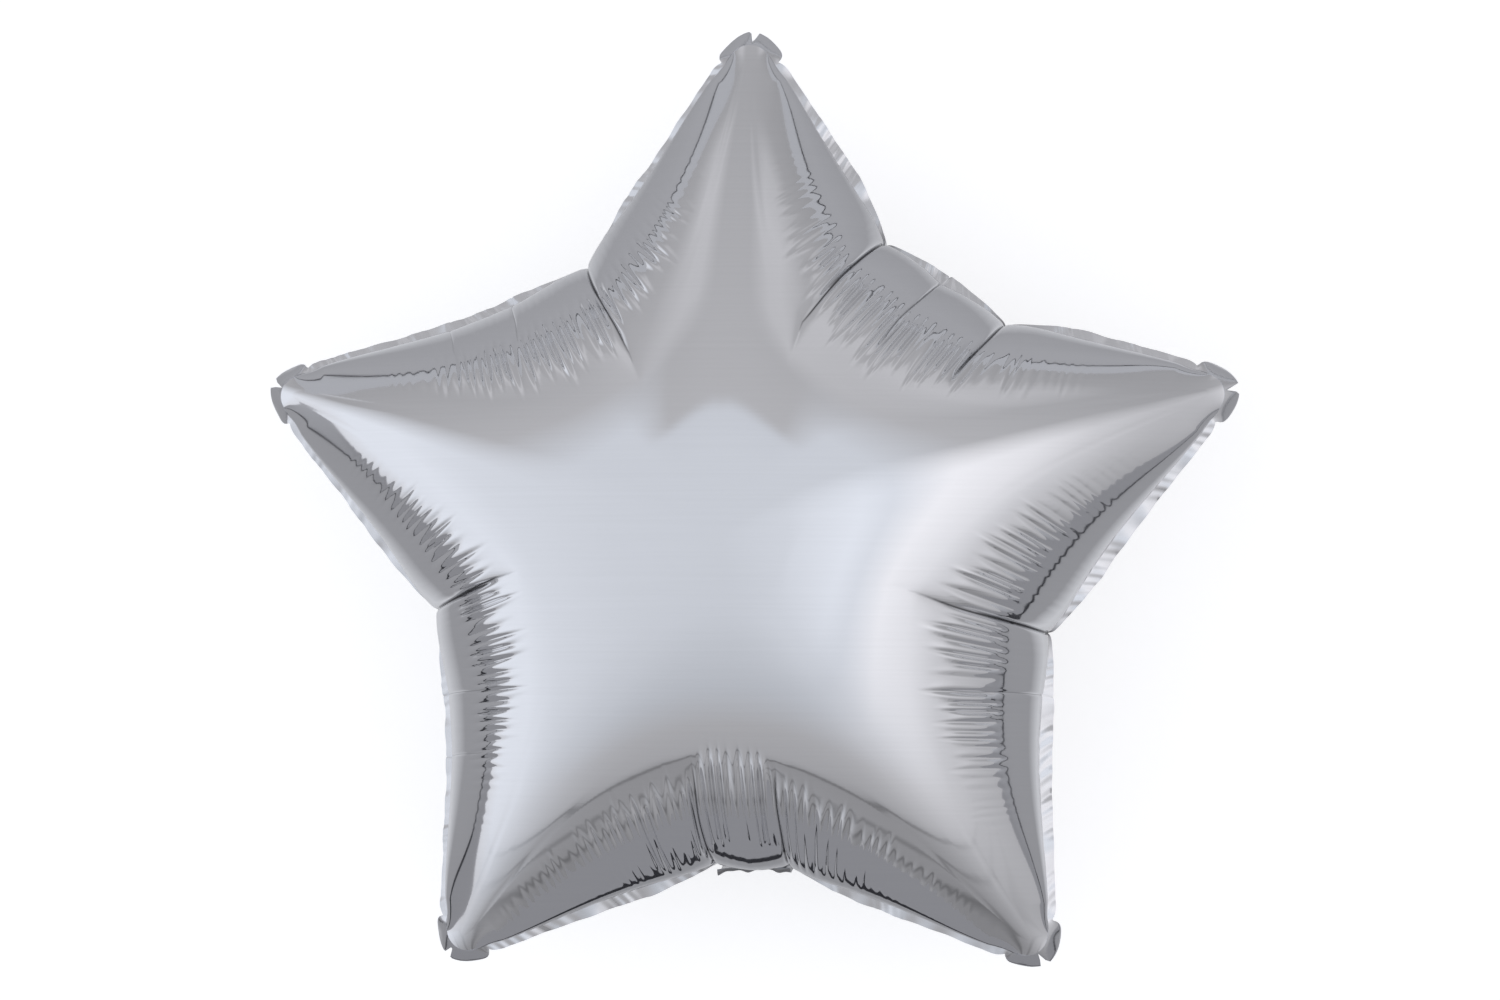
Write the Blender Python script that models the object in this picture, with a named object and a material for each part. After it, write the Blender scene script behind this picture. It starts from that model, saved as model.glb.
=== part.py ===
"""Star-shaped foil party balloon, filled and sealed, lying on its back."""

import math

import bmesh
import bpy
import numpy as np

# Plan of the star, seen from above; angles run clockwise from the top arm
ARMS = 5
NOTCH_RADIUS = 0.1474          # middle of the star to the seam at a notch
NOTCH_BEND = 0.0476            # how softly the seam turns at a notch
TIP_RADIUS = 0.2310            # middle of the star to the seam at a tip
TIP_CUT = 0.0140               # length by which the blunt tip stops short of a sharp one
TIP_SQUARENESS = 45.0          # higher makes the end of an arm squarer

# How far the film stands out from the plane of the seam
THICKNESS = 0.1850             # from the floor to the top of the front
FRONT_RISE = 0.0940
REST_SINK = 0.0015             # depth by which the back is flattened where it rests
BACK_RISE = THICKNESS - FRONT_RISE + REST_SINK
DOME_SHARPNESS = 2.0           # higher lets each arm keep its own roundness further in
END_FULLNESS = 0.25            # share by which the film is fuller far from the middle
ARM_FULLNESS = 0.10            # share by which arms are fuller than the hollows between
TIP_FALL = 0.0120              # length over which the film comes down to the end of an arm
SEAM_EASE = 12.0               # higher keeps the last of its fall closer to the seam

# The film bulges out over its seam before it turns back to it
ROLL_WIDTH = 0.0042
ROLL_HEIGHT = 0.0120           # height over the seam at which it stands out furthest
ROLL_END = 0.0160              # length of seam, at the end of an arm, over which it dies down
ROLL_PINCHED = 0.80            # share of it that a crease takes away
SEAM_HOLD = 6.0                # higher keeps the bulge and the pinches closer to the seam

# Sealed edge of the two films
FLANGE_WIDTH = 0.0078
FLANGE_TIP_WIDTH = 0.0040
FLANGE_TAPER = 0.045           # length of seam over which it gets narrower to a tip
FLANGE_THICKNESS = 0.0008
FLANGE_PINCHED = 0.0030        # its width where a crease gathers it
FLANGE_OPENING = 0.0080        # length of seam over which it widens again
EAR_WIDTH = 0.0095             # the sealed edge past the end of an arm
EAR_SPAN = 0.0145              # length of seam that the wider end takes, to each side
EAR_CLEFT = 0.0060             # the dent between the two lobes of that end
CLEFT_SPAN = 0.0034

# Puckers along the seam, two columns of points to each
PUCKER_PITCH = 0.0105
GATHER_DEPTH = 0.0011
ARM_PUCKER_DEPTH = 0.00040
GATHER_FADE = 0.040            # distance from a notch at which its puckers die down
PUCKER_SPAN = 47.0             # degrees of the quarter turn, from the seam, that puckers cross
UNEVENNESS = 0.30              # share by which puckers differ
FLANGE_WAVE = 0.0009
RIM_SERRATION = 0.0004

# Filling neck, hanging from the sealed edge at the bottom notch
NECK_NOTCH = 2
NECK_OFFSET = -1.35            # degrees from the middle of the notch
NECK_WIDTH = 0.0345
NECK_LENGTH = 0.062
NECK_STEPS = 8
NECK_FOLD = 0.0020             # radius of the fold at the sealed edge
NECK_LEAN = 16.0               # degrees by which it leans in under the balloon
NECK_RIPPLE = 0.0006

# Creases: notch, degrees off its middle at the seam and at the inner end, length, depth
CREASES = (
    (0, -11.0, -18.2, 0.057, 0.0050),
    (0, 1.1, 1.4, 0.031, 0.0016),
    (0, 13.8, 18.4, 0.032, 0.0046),
    (1, -1.5, -2.5, 0.059, 0.0052),
    (2, -7.9, -12.3, 0.045, 0.0046),
    (2, 5.2, 8.7, 0.047, 0.0046),
    (3, 5.6, 9.4, 0.052, 0.0050),
    (4, 5.7, 8.7, 0.060, 0.0052),
)
FOLD_WIDTH = 0.0030            # from the bottom of a crease to where its side is a third as deep
CREASE_SWAY = 0.0170           # distance over which the film runs along with a crease
PINCH_DEPTH = 0.0042           # how far a deep crease draws the seam in
PINCH_SPREAD = 0.0120
DEEP_CREASE = 0.0046           # creases from this depth on pinch the seam

# Rows of points from the seam to the middle, as degrees of a quarter turn
FINE_ROWS = (82.0, 71.0, 60.0, 49.0)
COARSE_ROWS = (39.0, 30.0, 21.5, 14.0, 7.0)
COLUMNS_JOINED = 2             # fine columns that run into one coarse column

FOIL_COLOUR = (0.80, 0.81, 0.83, 1.0)
FOIL_ROUGHNESS = 0.14

STEP = 2.0 * math.pi / ARMS


def side_slope():
    """Rise of an arm's side against the line across its notch, as its sharp tip asks for."""
    sharp = TIP_RADIUS + TIP_CUT
    out = sharp * math.cos(0.5 * STEP) - (NOTCH_RADIUS - NOTCH_BEND)
    return math.sqrt(out ** 2 - NOTCH_BEND ** 2) / (sharp * math.sin(0.5 * STEP))


SIDE_SLOPE = side_slope()


def clear_scene():
    for thing in list(bpy.data.objects):
        bpy.data.objects.remove(thing, do_unlink=True)


def side_radius(angle, notch):
    """Distance of the seam from the middle, on the curve that belongs to one notch."""
    away = (angle - (notch + 0.5) * STEP + math.pi) % (2.0 * math.pi) - math.pi
    away = np.clip(away, -0.95, 0.95)
    inner = NOTCH_RADIUS - NOTCH_BEND
    across = np.cos(away) ** 2 - (SIDE_SLOPE * np.sin(away)) ** 2
    along = np.cos(away) * inner
    return (along + np.sqrt(along ** 2 - across * (inner ** 2 - NOTCH_BEND ** 2))) / across


def seam_radius(angle):
    """Distance of the seam from the middle of the star."""
    power = -TIP_SQUARENESS
    total = np.full_like(angle, TIP_RADIUS) ** power
    for notch in range(ARMS):
        total = total + side_radius(angle, notch) ** power
    return total ** (1.0 / power)


def plan(radius, angle):
    return radius * np.sin(angle), radius * np.cos(angle)


def from_tip(angle):
    """Angle to the middle line of the nearest arm."""
    return (angle + 0.5 * STEP) % STEP - 0.5 * STEP


def side_gaps(x, y):
    """Distances of a point from the five curves that the seam follows."""
    gaps = []
    for notch in range(ARMS):
        middle = (notch + 0.5) * STEP
        out = x * math.sin(middle) + y * math.cos(middle)
        across = x * math.cos(middle) - y * math.sin(middle)
        bend = np.sqrt(NOTCH_BEND ** 2 + (SIDE_SLOPE * across) ** 2)
        start = NOTCH_RADIUS - NOTCH_BEND
        lean = SIDE_SLOPE ** 2 * across / bend
        gaps.append(np.maximum((start + bend - out) / np.sqrt(1.0 + lean ** 2), 1e-7))
    return gaps


def swell(x, y):
    """Rounded height between the five curves, as a length."""
    gaps = side_gaps(x, y)
    total = 0.0
    for first in range(ARMS):
        for second in range(first):
            total = total + (gaps[first] * gaps[second]) ** -DOME_SHARPNESS
    return total ** (-0.5 / DOME_SHARPNESS)


def film_height(radius, angle):
    """Height of the smooth film as a share of its rise over the middle."""
    x, y = plan(radius, angle)
    out = radius / TIP_RADIUS
    fuller = 1.0 + END_FULLNESS * out ** 2 + ARM_FULLNESS * out ** 3 * np.cos(ARMS * angle)
    from_end = np.maximum(TIP_RADIUS - radius * np.cos(from_tip(angle)), 0.0)
    ending = 1.0 - np.exp(-from_end / TIP_FALL)
    zero = np.zeros(1)
    return swell(x, y) * fuller * ending / swell(zero, zero)


def profile(share, angle):
    """Height of the film at a share of the way out to the seam, down to none at the seam."""
    reach = seam_radius(angle)
    left = film_height(reach, angle)
    return np.maximum(film_height(reach * share, angle) - left * share ** SEAM_EASE, 0.0)


class Seam:
    """The seam as a line: distances along it, and the feet of the creases on it."""

    def __init__(self):
        self.angles = np.linspace(0.0, 2.0 * math.pi, 20001)
        x, y = plan(seam_radius(self.angles), self.angles)
        self.arcs = np.concatenate(([0.0], np.cumsum(np.hypot(np.diff(x), np.diff(y)))))
        self.length = self.arcs[-1]
        self.feet = [self.arc((notch + 0.5) * STEP + math.radians(first))
                     for notch, first, last, length, depth in CREASES]

    def arc(self, angle):
        return np.interp(angle % (2.0 * math.pi), self.angles, self.arcs)

    def aside(self, angle, foot):
        """Distance along the seam from a foot on it, negative before it."""
        return (self.arc(angle) - foot + 0.5 * self.length) % self.length - 0.5 * self.length

    def columns(self):
        """Angles of the columns of points: one at every crease, an even number between two."""
        stops = []
        for foot, after in zip(self.feet, self.feet[1:] + [self.feet[0] + self.length]):
            count = 2 * max(1, round((after - foot) / PUCKER_PITCH))
            stops.extend(foot + (after - foot) * k / count for k in range(count))
        return np.interp(np.array(stops) % self.length, self.arcs, self.angles)


def seam_outward(angle):
    """Level direction out from the seam, square to it."""
    x0, y0 = plan(seam_radius(angle - 0.004), angle - 0.004)
    x1, y1 = plan(seam_radius(angle + 0.004), angle + 0.004)
    run = np.hypot(x1 - x0, y1 - y0)
    return -(y1 - y0) / run, (x1 - x0) / run


def notch_distance(angle):
    """Distance along the seam, near enough, from the nearest notch."""
    return np.abs((angle % STEP) - 0.5 * STEP) * seam_radius(angle)


def pucker_depth(angle):
    near = np.exp(-(notch_distance(angle) / GATHER_FADE) ** 2)
    uneven = 1.0 + UNEVENNESS * np.sin(23.0 * angle + 0.6 * np.sin(41.0 * angle))
    return (ARM_PUCKER_DEPTH + GATHER_DEPTH * near) * uneven


def swayed(seam, angle, level):
    """Columns of points turned so that they run along with the creases."""
    total = np.zeros_like(angle)
    for crease, foot in zip(CREASES, seam.feet):
        inward = np.minimum(seam_radius(angle) * (1.0 - level) / crease[3], 1.0)
        turn = math.radians(crease[2] - crease[1]) * inward
        total = total + turn * np.exp(-(seam.aside(angle, foot) / CREASE_SWAY) ** 2)
    return angle + total


def crease_depth(seam, angle, level):
    """How far the creases pull the film in."""
    total = np.zeros_like(angle)
    for crease, foot in zip(CREASES, seam.feet):
        inward = np.minimum(seam_radius(angle) * (1.0 - level) / crease[3], 1.0)
        strength = crease[4] * (1.0 - inward ** 2) * (0.6 + 0.8 * inward)
        total = total + strength * np.exp(-np.abs(seam.aside(angle, foot)) / FOLD_WIDTH)
    return total


def pinch(seam, angle):
    """How much of the pinch of the deep creases is felt along the seam."""
    drawn = np.zeros_like(angle)
    for crease, foot in zip(CREASES, seam.feet):
        share = min(1.0, (crease[4] / DEEP_CREASE) ** 2)
        drawn = np.maximum(drawn, share * np.exp(-np.abs(seam.aside(angle, foot)) / PINCH_SPREAD))
    return drawn


def film_row(seam, turn, angle, crest, side):
    """One ring of points of the front (side 1) or back (side -1) film."""
    level = math.sin(math.radians(turn))
    rise = FRONT_RISE if side > 0 else BACK_RISE
    swung = swayed(seam, angle, level)
    x, y = plan(seam_radius(swung) * level, swung)
    z = rise * profile(np.full_like(angle, level), swung)
    fade = max(0.0, math.sin(math.pi * (90.0 - turn) / PUCKER_SPAN)) ** 0.7
    push = crest * pucker_depth(angle) * fade - crease_depth(seam, angle, level)
    drawn = pinch(seam, angle)
    end = np.clip(np.abs(from_tip(angle)) * seam_radius(angle) / ROLL_END, 0.0, 1.0)
    roll = ROLL_WIDTH * (z / ROLL_HEIGHT) * np.exp(1.0 - z / ROLL_HEIGHT)
    roll = roll * end * (1.0 - ROLL_PINCHED * drawn)
    shift = (roll - PINCH_DEPTH * drawn) * level ** SEAM_HOLD + level * push
    out_x, out_y = seam_outward(angle)
    x = x + out_x * shift
    y = y + out_y * shift
    z = z + math.cos(math.radians(turn)) * push
    if side < 0:
        z = np.minimum(z, BACK_RISE - REST_SINK)
    return np.stack((x, y, side * z), axis=1)


def flange_rows(seam, angle, crest):
    """Seam and outer edge of the sealed border, each as an upper and a lower ring."""
    x, y = plan(seam_radius(angle), angle)
    out_x, out_y = seam_outward(angle)
    drawn_in = PINCH_DEPTH * pinch(seam, angle)
    from_end = np.abs(from_tip(angle)) * seam_radius(angle)
    ear = np.exp(-(from_end / EAR_SPAN) ** 4)
    cleft = np.exp(-(from_end / CLEFT_SPAN) ** 2)
    depth = pucker_depth(angle) / (ARM_PUCKER_DEPTH + GATHER_DEPTH)
    narrow = np.exp(-(from_end / FLANGE_TAPER) ** 2)
    width = FLANGE_WIDTH - (FLANGE_WIDTH - FLANGE_TIP_WIDTH) * narrow
    for crease, foot in zip(CREASES, seam.feet):
        if crease[4] >= DEEP_CREASE:
            near = np.exp(-(seam.aside(angle, foot) / FLANGE_OPENING) ** 2)
            width = np.minimum(width, FLANGE_WIDTH - (FLANGE_WIDTH - FLANGE_PINCHED) * near)
    width = width + (EAR_WIDTH - width) * ear - EAR_CLEFT * cleft
    still = neck_stillness(angle)
    width = width + RIM_SERRATION * crest * depth * still
    wave = FLANGE_WAVE * crest * depth * still
    rows = {}
    for name, reach, swing in (("seam", 0.0, 0.4), ("rim", 1.0, 1.0)):
        out = width * reach - drawn_in
        ring = np.stack((x + out_x * out, y + out_y * out, wave * swing), axis=1)
        half = np.array((0.0, 0.0, 0.5 * FLANGE_THICKNESS))
        rows[name] = (ring + half, ring - half)
    return rows


def neck_offset(angle):
    """Distance along the seam from the middle of the filling neck."""
    centre = (NECK_NOTCH + 0.5) * STEP + math.radians(NECK_OFFSET)
    away = (angle - centre + math.pi) % (2.0 * math.pi) - math.pi
    return away * seam_radius(angle)


def neck_stillness(angle):
    """None of the border's wave and serration is left where the neck leaves it."""
    return 1.0 - np.exp(-(neck_offset(angle) / (0.6 * NECK_WIDTH)) ** 4)


def neck_path(step):
    """How far out and how far down the neck's middle line is after a number of steps."""
    fold = NECK_FOLD * math.radians(90.0 + NECK_LEAN)
    if step <= 3:
        turn = math.radians(90.0 + NECK_LEAN) * step / 3.0
        return NECK_FOLD * math.sin(turn), -NECK_FOLD * (1.0 - math.cos(turn)), turn
    turn = math.radians(90.0 + NECK_LEAN)
    run = (NECK_LENGTH - fold) * (step - 3) / (NECK_STEPS - 3)
    out = NECK_FOLD * math.sin(turn) + run * math.cos(turn)
    down = -NECK_FOLD * (1.0 - math.cos(turn)) - run * math.sin(turn)
    return out, down, turn


class Shell:
    """Points and faces of the balloon's closed surface."""

    def __init__(self):
        self.points = []
        self.faces = []

    def ring(self, points):
        first = len(self.points)
        self.points.extend(tuple(p) for p in points)
        return list(range(first, len(self.points)))

    def band(self, outer, inner, skip=()):
        count = len(outer)
        for k in range(count):
            after = (k + 1) % count
            if k in skip:
                continue
            self.faces.append((outer[k], outer[after], inner[after], inner[k]))

    def joining_band(self, outer, inner):
        """Band in which several fine columns run into one coarse column."""
        group = COLUMNS_JOINED
        middle = group // 2
        count = len(inner)
        for k in range(count):
            after = (k + 1) % count
            near = [outer[(k * group + i) % len(outer)] for i in range(group + 1)]
            for i in range(group):
                anchor = inner[k] if i < middle + 1 else inner[after]
                self.faces.append((near[i], near[i + 1], anchor))
            self.faces.append((near[middle + 1], inner[after], inner[k]))


def add_film(shell, seam, start, angle, crest, side):
    ring = start
    for turn in FINE_ROWS:
        row = shell.ring(film_row(seam, turn, angle, crest, side))
        shell.band(ring, row)
        ring = row
    coarse = angle[::COLUMNS_JOINED]
    still = np.zeros_like(coarse)
    for turn in COARSE_ROWS:
        row = shell.ring(film_row(seam, turn, coarse, still, side))
        if len(row) == len(ring):
            shell.band(ring, row)
        else:
            shell.joining_band(ring, row)
        ring = row
    height = FRONT_RISE if side > 0 else BACK_RISE - REST_SINK
    middle = shell.ring([(0.0, 0.0, side * height)])[0]
    for k in range(len(ring)):
        shell.faces.append((ring[k], ring[(k + 1) % len(ring)], middle))


def add_neck(shell, rim_top, rim_low, angle):
    """Flat neck that leaves the rim between two columns, folds over it and hangs down."""
    inside = [k for k in range(len(angle)) if abs(neck_offset(angle[k:k + 1])[0]) < 0.5 * NECK_WIDTH]
    out_x, out_y = seam_outward(angle[inside])
    base = 0.5 * (np.array([shell.points[rim_top[k]] for k in inside])
                  + np.array([shell.points[rim_low[k]] for k in inside]))
    top = [rim_top[k] for k in inside]
    low = [rim_low[k] for k in inside]
    half = 0.5 * FLANGE_THICKNESS
    for step in range(1, NECK_STEPS + 1):
        out, down, turn = neck_path(step)
        ripple = NECK_RIPPLE * np.cos(np.arange(len(inside)) * 1.1 + 0.5 * step)
        rows = []
        for sign in (1.0, -1.0):
            reach = out + sign * half * math.sin(turn) + ripple * math.sin(turn)
            drop = down + sign * half * math.cos(turn) + ripple * math.cos(turn)
            rows.append(shell.ring(np.stack((base[:, 0] + out_x * reach,
                                             base[:, 1] + out_y * reach,
                                             base[:, 2] + drop), axis=1)))
        for k in range(len(inside) - 1):
            shell.faces.append((top[k], top[k + 1], rows[0][k + 1], rows[0][k]))
            shell.faces.append((low[k], low[k + 1], rows[1][k + 1], rows[1][k]))
        for k in (0, len(inside) - 1):
            shell.faces.append((top[k], low[k], rows[1][k], rows[0][k]))
        top, low = rows
    for k in range(len(inside) - 1):
        shell.faces.append((top[k], top[k + 1], low[k + 1], low[k]))
    return set(inside[:-1])


def foil_material():
    material = bpy.data.materials.new("silver_foil")
    material.use_nodes = True
    shader = material.node_tree.nodes["Principled BSDF"]
    shader.inputs["Base Color"].default_value = FOIL_COLOUR
    shader.inputs["Metallic"].default_value = 1.0
    shader.inputs["Roughness"].default_value = FOIL_ROUGHNESS
    return material


def make_balloon():
    seam = Seam()
    angle = seam.columns()
    crest = np.where(np.arange(len(angle)) % 2 == 0, -1.0, 1.0)
    shell = Shell()
    rows = flange_rows(seam, angle, crest)
    seam_top = shell.ring(rows["seam"][0])
    seam_low = shell.ring(rows["seam"][1])
    rim_top = shell.ring(rows["rim"][0])
    rim_low = shell.ring(rows["rim"][1])
    open_columns = add_neck(shell, rim_top, rim_low, angle)
    shell.band(rim_top, seam_top)
    shell.band(rim_low, seam_low)
    shell.band(rim_top, rim_low, skip=open_columns)
    add_film(shell, seam, seam_top, angle, crest, 1.0)
    add_film(shell, seam, seam_low, angle, crest, -1.0)

    mesh = bpy.data.meshes.new("foil_balloon")
    mesh.from_pydata(shell.points, [], shell.faces)
    mesh.update()
    close_up(mesh)
    mesh.materials.append(foil_material())
    mesh.shade_smooth()
    mesh.set_sharp_from_angle(angle=math.radians(50.0))
    balloon = bpy.data.objects.new("foil_balloon", mesh)
    balloon.location.z = BACK_RISE - REST_SINK
    bpy.context.scene.collection.objects.link(balloon)


def close_up(mesh):
    """Turns every face outward."""
    work = bmesh.new()
    work.from_mesh(mesh)
    bmesh.ops.triangulate(work, faces=work.faces[:])
    bmesh.ops.recalc_face_normals(work, faces=work.faces[:])
    work.to_mesh(mesh)
    work.free()


clear_scene()
make_balloon()
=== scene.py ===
import math

import bpy
import numpy as np
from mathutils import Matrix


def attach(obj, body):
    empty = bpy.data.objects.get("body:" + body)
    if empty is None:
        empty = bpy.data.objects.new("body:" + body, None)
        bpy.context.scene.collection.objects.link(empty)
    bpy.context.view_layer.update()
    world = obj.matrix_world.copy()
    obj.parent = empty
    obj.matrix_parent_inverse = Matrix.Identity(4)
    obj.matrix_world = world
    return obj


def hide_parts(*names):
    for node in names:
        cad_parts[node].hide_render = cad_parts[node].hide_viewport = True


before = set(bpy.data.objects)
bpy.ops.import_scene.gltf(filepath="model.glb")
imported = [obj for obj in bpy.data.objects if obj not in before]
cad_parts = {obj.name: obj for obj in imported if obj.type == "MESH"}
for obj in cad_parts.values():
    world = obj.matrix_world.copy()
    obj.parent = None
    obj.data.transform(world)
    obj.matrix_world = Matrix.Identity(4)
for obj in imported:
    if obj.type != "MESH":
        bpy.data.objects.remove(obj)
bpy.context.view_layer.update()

# The front film is one sheet of silver-coated plastic, cut as a star with softly bent notches.
# It is sealed to a like sheet all round and blown up, which domes it, gathers its edge into
# fine puckers and folds it into a few deep creases at each notch.
ARMS = 5
STEP = 2.0 * math.pi / ARMS
NOTCH_RADIUS = 0.1474
NOTCH_BEND = 0.0476
TIP_RADIUS = 0.2310
TIP_CUT = 0.0140
TIP_SQUARENESS = 45.0
FRONT_RISE = 0.0940
BACK_RISE = 0.0925
REST_SINK = 0.0015
SEAM_LEVEL = BACK_RISE - REST_SINK
DOME_SHARPNESS = 2.0
END_FULLNESS = 0.25
ARM_FULLNESS = 0.10
# Each crease: notch, degrees off its middle at the seam and at the inner end, length, depth,
# width of the fold
CREASES = (
    (0, -11.0, -18.2, 0.057, 0.0034, 0.0019),
    (0, 13.8, 18.4, 0.034, 0.0032, 0.0018),
    (0, 1.1, 1.4, 0.036, 0.0018, 0.0011),
    (1, -1.5, -2.5, 0.060, 0.0034, 0.0019),
    (1, 9.1, 17.0, 0.034, 0.0009, 0.0014),
    (2, 5.2, 8.7, 0.047, 0.0030, 0.0018),
    (2, -7.9, -12.3, 0.045, 0.0030, 0.0018),
    (3, 5.6, 9.4, 0.052, 0.0034, 0.0019),
    (3, -9.5, -15.7, 0.033, 0.0009, 0.0014),
    (3, -18.6, -22.5, 0.018, 0.0007, 0.0012),
    (4, 5.7, 8.7, 0.060, 0.0034, 0.0019),
    (4, -9.1, -11.8, 0.018, 0.0009, 0.0012),
    (4, -19.2, -21.0, 0.012, 0.0006, 0.0012),
)
CREASE_BULGE = 0.0100
PINCH_DEPTH = 0.0016
PINCH_SPREAD = 0.0100
ROLL_WIDTH = 0.0042
ROLL_HEIGHT = 0.0120
TIP_FALL = 0.0190
SEAM_EASE = 12.0
SHOULDER = 0.062
PUCKER_PITCH = 0.0042
PUCKER_DEPTH = 0.00150
ARM_PUCKER_DEPTH = 0.00032
PUCKER_SPREAD = 0.052
PUCKER_CALM = 0.055
SEAM_SAMPLES = 30001
FILM_COLUMNS = 2960
FRONT_ROWS = 29
FRONT_INNER_ROWS = 14
COLUMNS_JOINED = 4
MIDDLE_RING = 0.030


def side_slope():
    """How steeply an arm's side rises from its notch, as the sharp tip it heads for asks."""
    sharp = TIP_RADIUS + TIP_CUT
    out = sharp * math.cos(0.5 * STEP) - (NOTCH_RADIUS - NOTCH_BEND)
    return math.sqrt(out ** 2 - NOTCH_BEND ** 2) / (sharp * math.sin(0.5 * STEP))


SIDE_SLOPE = side_slope()


def side_radius(angle, notch):
    """Distance from the middle to the seam curve that belongs to one notch."""
    away = (angle - (notch + 0.5) * STEP + math.pi) % (2.0 * math.pi) - math.pi
    away = np.clip(away, -0.95, 0.95)
    inner = NOTCH_RADIUS - NOTCH_BEND
    across = np.cos(away) ** 2 - (SIDE_SLOPE * np.sin(away)) ** 2
    along = np.cos(away) * inner
    return (along + np.sqrt(along ** 2 - across * (inner ** 2 - NOTCH_BEND ** 2))) / across


def seam_radius(angle):
    total = np.full_like(angle, TIP_RADIUS) ** -TIP_SQUARENESS
    for notch in range(ARMS):
        total = total + side_radius(angle, notch) ** -TIP_SQUARENESS
    return total ** (-1.0 / TIP_SQUARENESS)


def plan(radius, angle):
    return np.stack((radius * np.sin(angle), radius * np.cos(angle)), axis=-1)


def side_gaps(place):
    """Distance of points of the plan from the seam curve of each notch."""
    gaps = []
    for notch in range(ARMS):
        middle = (notch + 0.5) * STEP
        out = place[..., 0] * math.sin(middle) + place[..., 1] * math.cos(middle)
        across = place[..., 0] * math.cos(middle) - place[..., 1] * math.sin(middle)
        bend = np.sqrt(NOTCH_BEND ** 2 + (SIDE_SLOPE * across) ** 2)
        lean = SIDE_SLOPE ** 2 * across / bend
        start = NOTCH_RADIUS - NOTCH_BEND
        gaps.append(np.maximum((start + bend - out) / np.sqrt(1.0 + lean ** 2), 1e-7))
    return gaps


def swell(place):
    gaps = side_gaps(place)
    total = 0.0
    for first in range(ARMS):
        for second in range(first):
            total = total + (gaps[first] * gaps[second]) ** -DOME_SHARPNESS
    return total ** (-0.5 / DOME_SHARPNESS)


MIDDLE_SWELL = swell(np.zeros((1, 2)))


def film_height(radius, angle):
    out = radius / TIP_RADIUS
    fuller = 1.0 + END_FULLNESS * out ** 2 + ARM_FULLNESS * out ** 3 * np.cos(ARMS * angle)
    from_arm = (angle + 0.5 * STEP) % STEP - 0.5 * STEP
    from_end = np.maximum(TIP_RADIUS - radius * np.cos(from_arm), 0.0)
    ending = 1.0 - np.exp(-from_end / TIP_FALL)
    return swell(plan(radius, angle)) * fuller * ending / MIDDLE_SWELL


def dome(place):
    """Height of the smooth film over points of the plan, as a share of its rise."""
    angle = np.arctan2(place[..., 0], place[..., 1])
    reach = seam_radius(angle)
    share = np.minimum(np.hypot(place[..., 0], place[..., 1]) / reach, 1.0)
    left = film_height(reach, angle) * share ** SEAM_EASE
    return np.maximum(film_height(reach * share, angle) - left, 0.0)


class Seam:
    """Points spread along the seam, closer together at the creases."""

    def __init__(self, count):
        fine = np.linspace(0.0, 2.0 * math.pi, SEAM_SAMPLES)
        line = plan(seam_radius(fine), fine)
        steps = np.hypot(*np.diff(line, axis=0).T)
        arc = np.concatenate(([0.0], np.cumsum(steps)))
        self.length = arc[-1]
        self.folds = [float(np.interp((c[0] + 0.5) * STEP + math.radians(c[1]), fine, arc))
                      for c in CREASES]
        crowd = 1.0 + sum(2.2 * np.exp(-((self.aside(arc, fold) / 0.005) ** 2))
                          for fold in self.folds)
        for notch in range(ARMS):
            middle = np.interp((notch + 0.5) * STEP, fine, arc)
            crowd = crowd + 0.9 * np.exp(-(self.aside(arc, middle) / 0.065) ** 4)
        crowded = np.concatenate(([0.0], np.cumsum(steps * crowd[1:])))
        self.angle = np.interp(np.arange(count) * crowded[-1] / count, crowded, fine)
        self.arc = np.interp(self.angle, fine, arc)
        self.foot = plan(seam_radius(self.angle), self.angle)
        self.along = self.tangent(self.angle)
        self.outward = np.stack((-self.along[:, 1], self.along[:, 0]), axis=1)
        self.reach = self.room()
        notch_arcs = np.interp((np.arange(ARMS) + 0.5) * STEP, fine, arc)
        self.from_notch = np.min([np.abs(self.aside(self.arc, n)) for n in notch_arcs], axis=0)
        tip_arcs = np.interp(np.arange(ARMS) * STEP, fine, arc)
        tips = np.stack([self.aside(self.arc, t) for t in tip_arcs])
        self.from_tip = tips[np.argmin(np.abs(tips), axis=0), np.arange(count)]

    def aside(self, arc, mark):
        """Signed distance along the seam from a mark on it."""
        return (arc - mark + 0.5 * self.length) % self.length - 0.5 * self.length

    def tangent(self, angle):
        after, before = angle + 0.003, angle - 0.003
        run = plan(seam_radius(after), after) - plan(seam_radius(before), before)
        return run / np.hypot(run[:, 0], run[:, 1])[:, None]

    def room(self):
        """How far in from the seam each column runs, short of the middle line of its arm."""
        others = self.foot[::4]
        room = np.full(len(self.foot), SHOULDER)
        for start in range(0, len(self.foot), 400):
            away = others[None] - self.foot[start:start + 400, None]
            inward = -np.einsum("ijk,ik->ij", away, self.outward[start:start + 400])
            size = np.sum(away ** 2, axis=2)
            ball = np.where((inward > 1e-9) & (size > 1e-8), size / (2.0 * np.maximum(inward, 1e-9)), 9.0)
            room[start:start + 400] = ball.min(axis=1)
        reach = ((0.72 * room) ** -3 + SHOULDER ** -3) ** (-1.0 / 3.0)
        wide = np.concatenate((reach[-12:], reach, reach[:12]))
        return np.convolve(wide, np.full(25, 1.0 / 25.0), mode="valid")


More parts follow.
